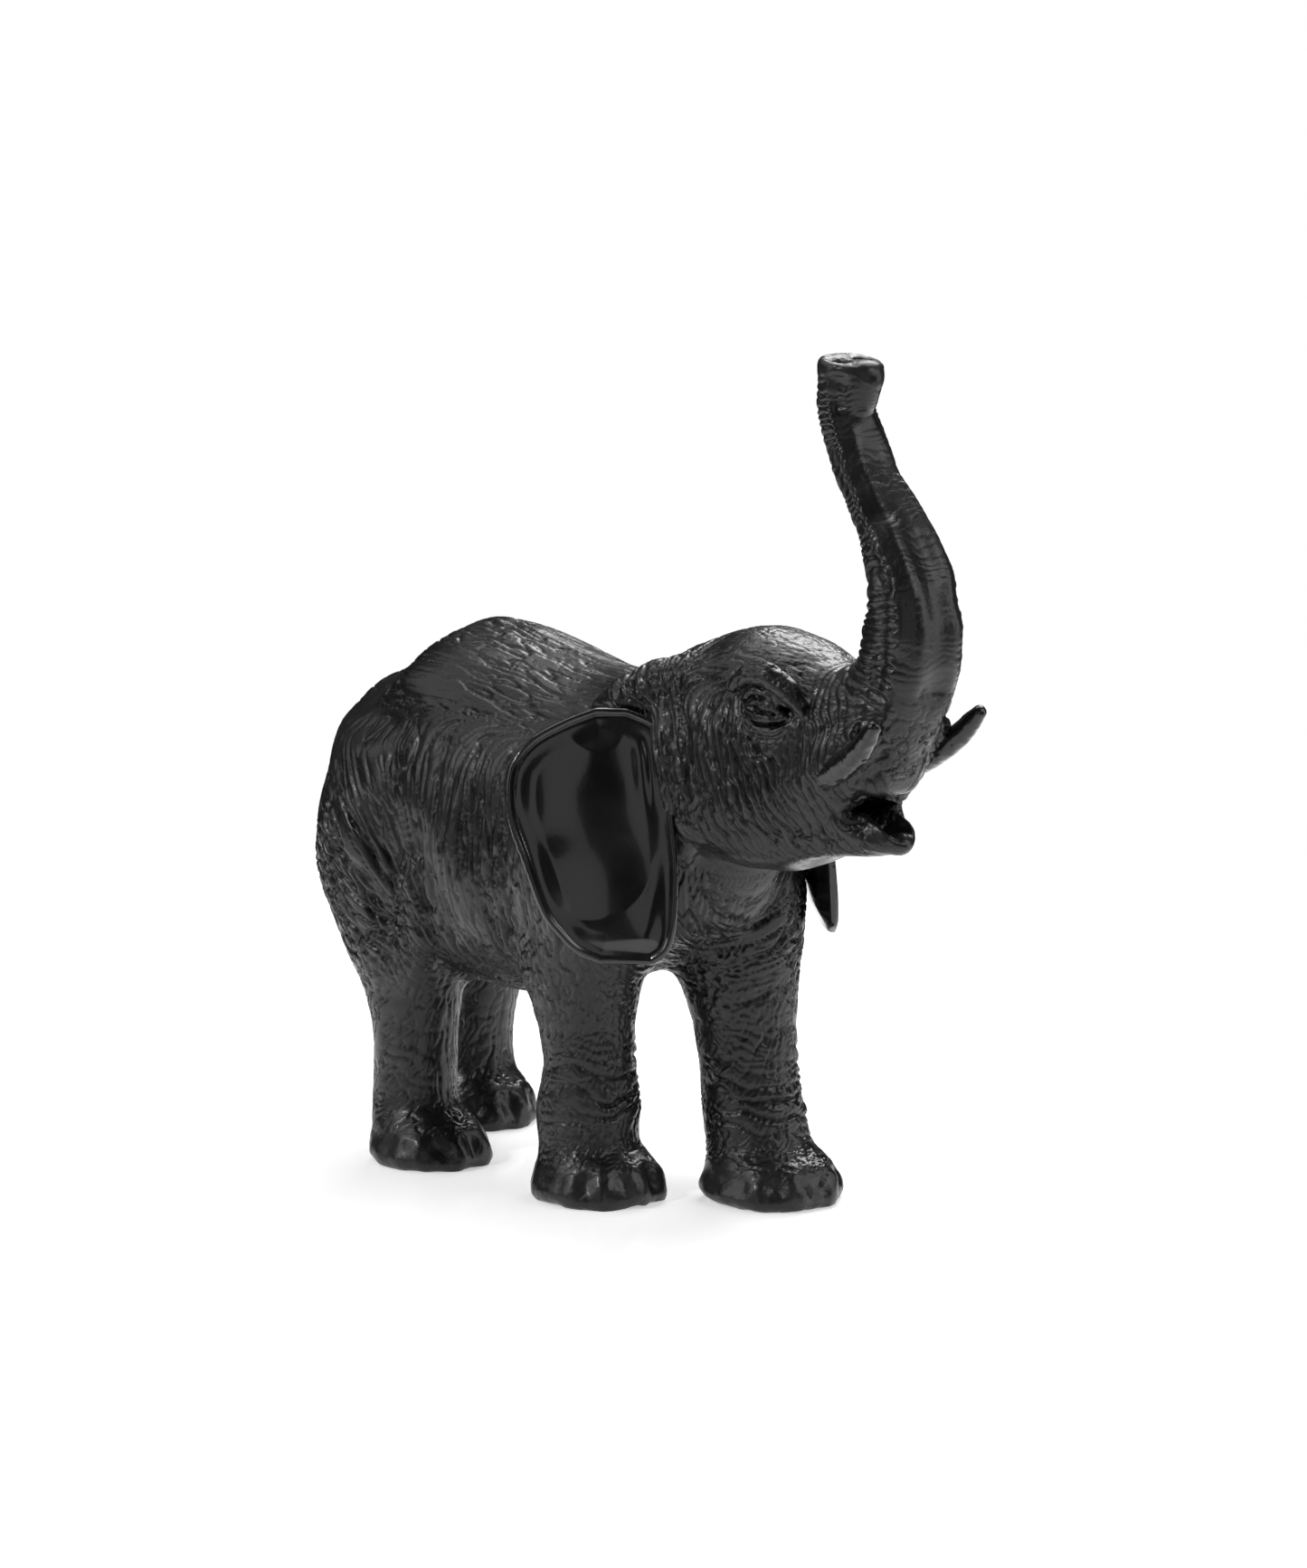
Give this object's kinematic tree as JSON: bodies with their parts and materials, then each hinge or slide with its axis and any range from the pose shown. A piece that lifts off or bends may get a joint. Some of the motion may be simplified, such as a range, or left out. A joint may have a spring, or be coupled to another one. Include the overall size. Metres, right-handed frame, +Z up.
{
  "type": "elephant figurine",
  "caption": "Black lacquered carved elephant standing in mid step, trunk raised in an S curve over its head, mouth open, short tusks and broad dished ears.",
  "frame": {"origin": "on the standing surface, under the middle of the overall length and width", "axes": "+X towards the head and trunk, +Y towards the animal's left side, +Z up"},
  "size_m": [0.2699, 0.1316, 0.2693],
  "materials": {
    "skin": "carved wrinkled hide under black satin lacquer",
    "ear": "smooth wood under black gloss lacquer",
    "tusk": "smooth wood under black gloss lacquer",
    "eye": "turned bead under black high gloss lacquer",
    "dowel": "bare birch dowel"
  },
  "bodies": {
    "root": {"torso": "skin", "head": "skin", "trunk": "skin", "left_ear": "ear", "right_ear": "ear", "left_tusk": "tusk", "right_tusk": "tusk", "front_left_leg": "skin", "front_right_leg": "skin", "hind_left_leg": "skin", "hind_right_leg": "skin", "tail": "skin", "left_eye": "eye", "right_eye": "eye", "leg_dowels": "dowel", "neck_dowels": "dowel", "trunk_dowel": "dowel"}
  },
  "joints": []
}
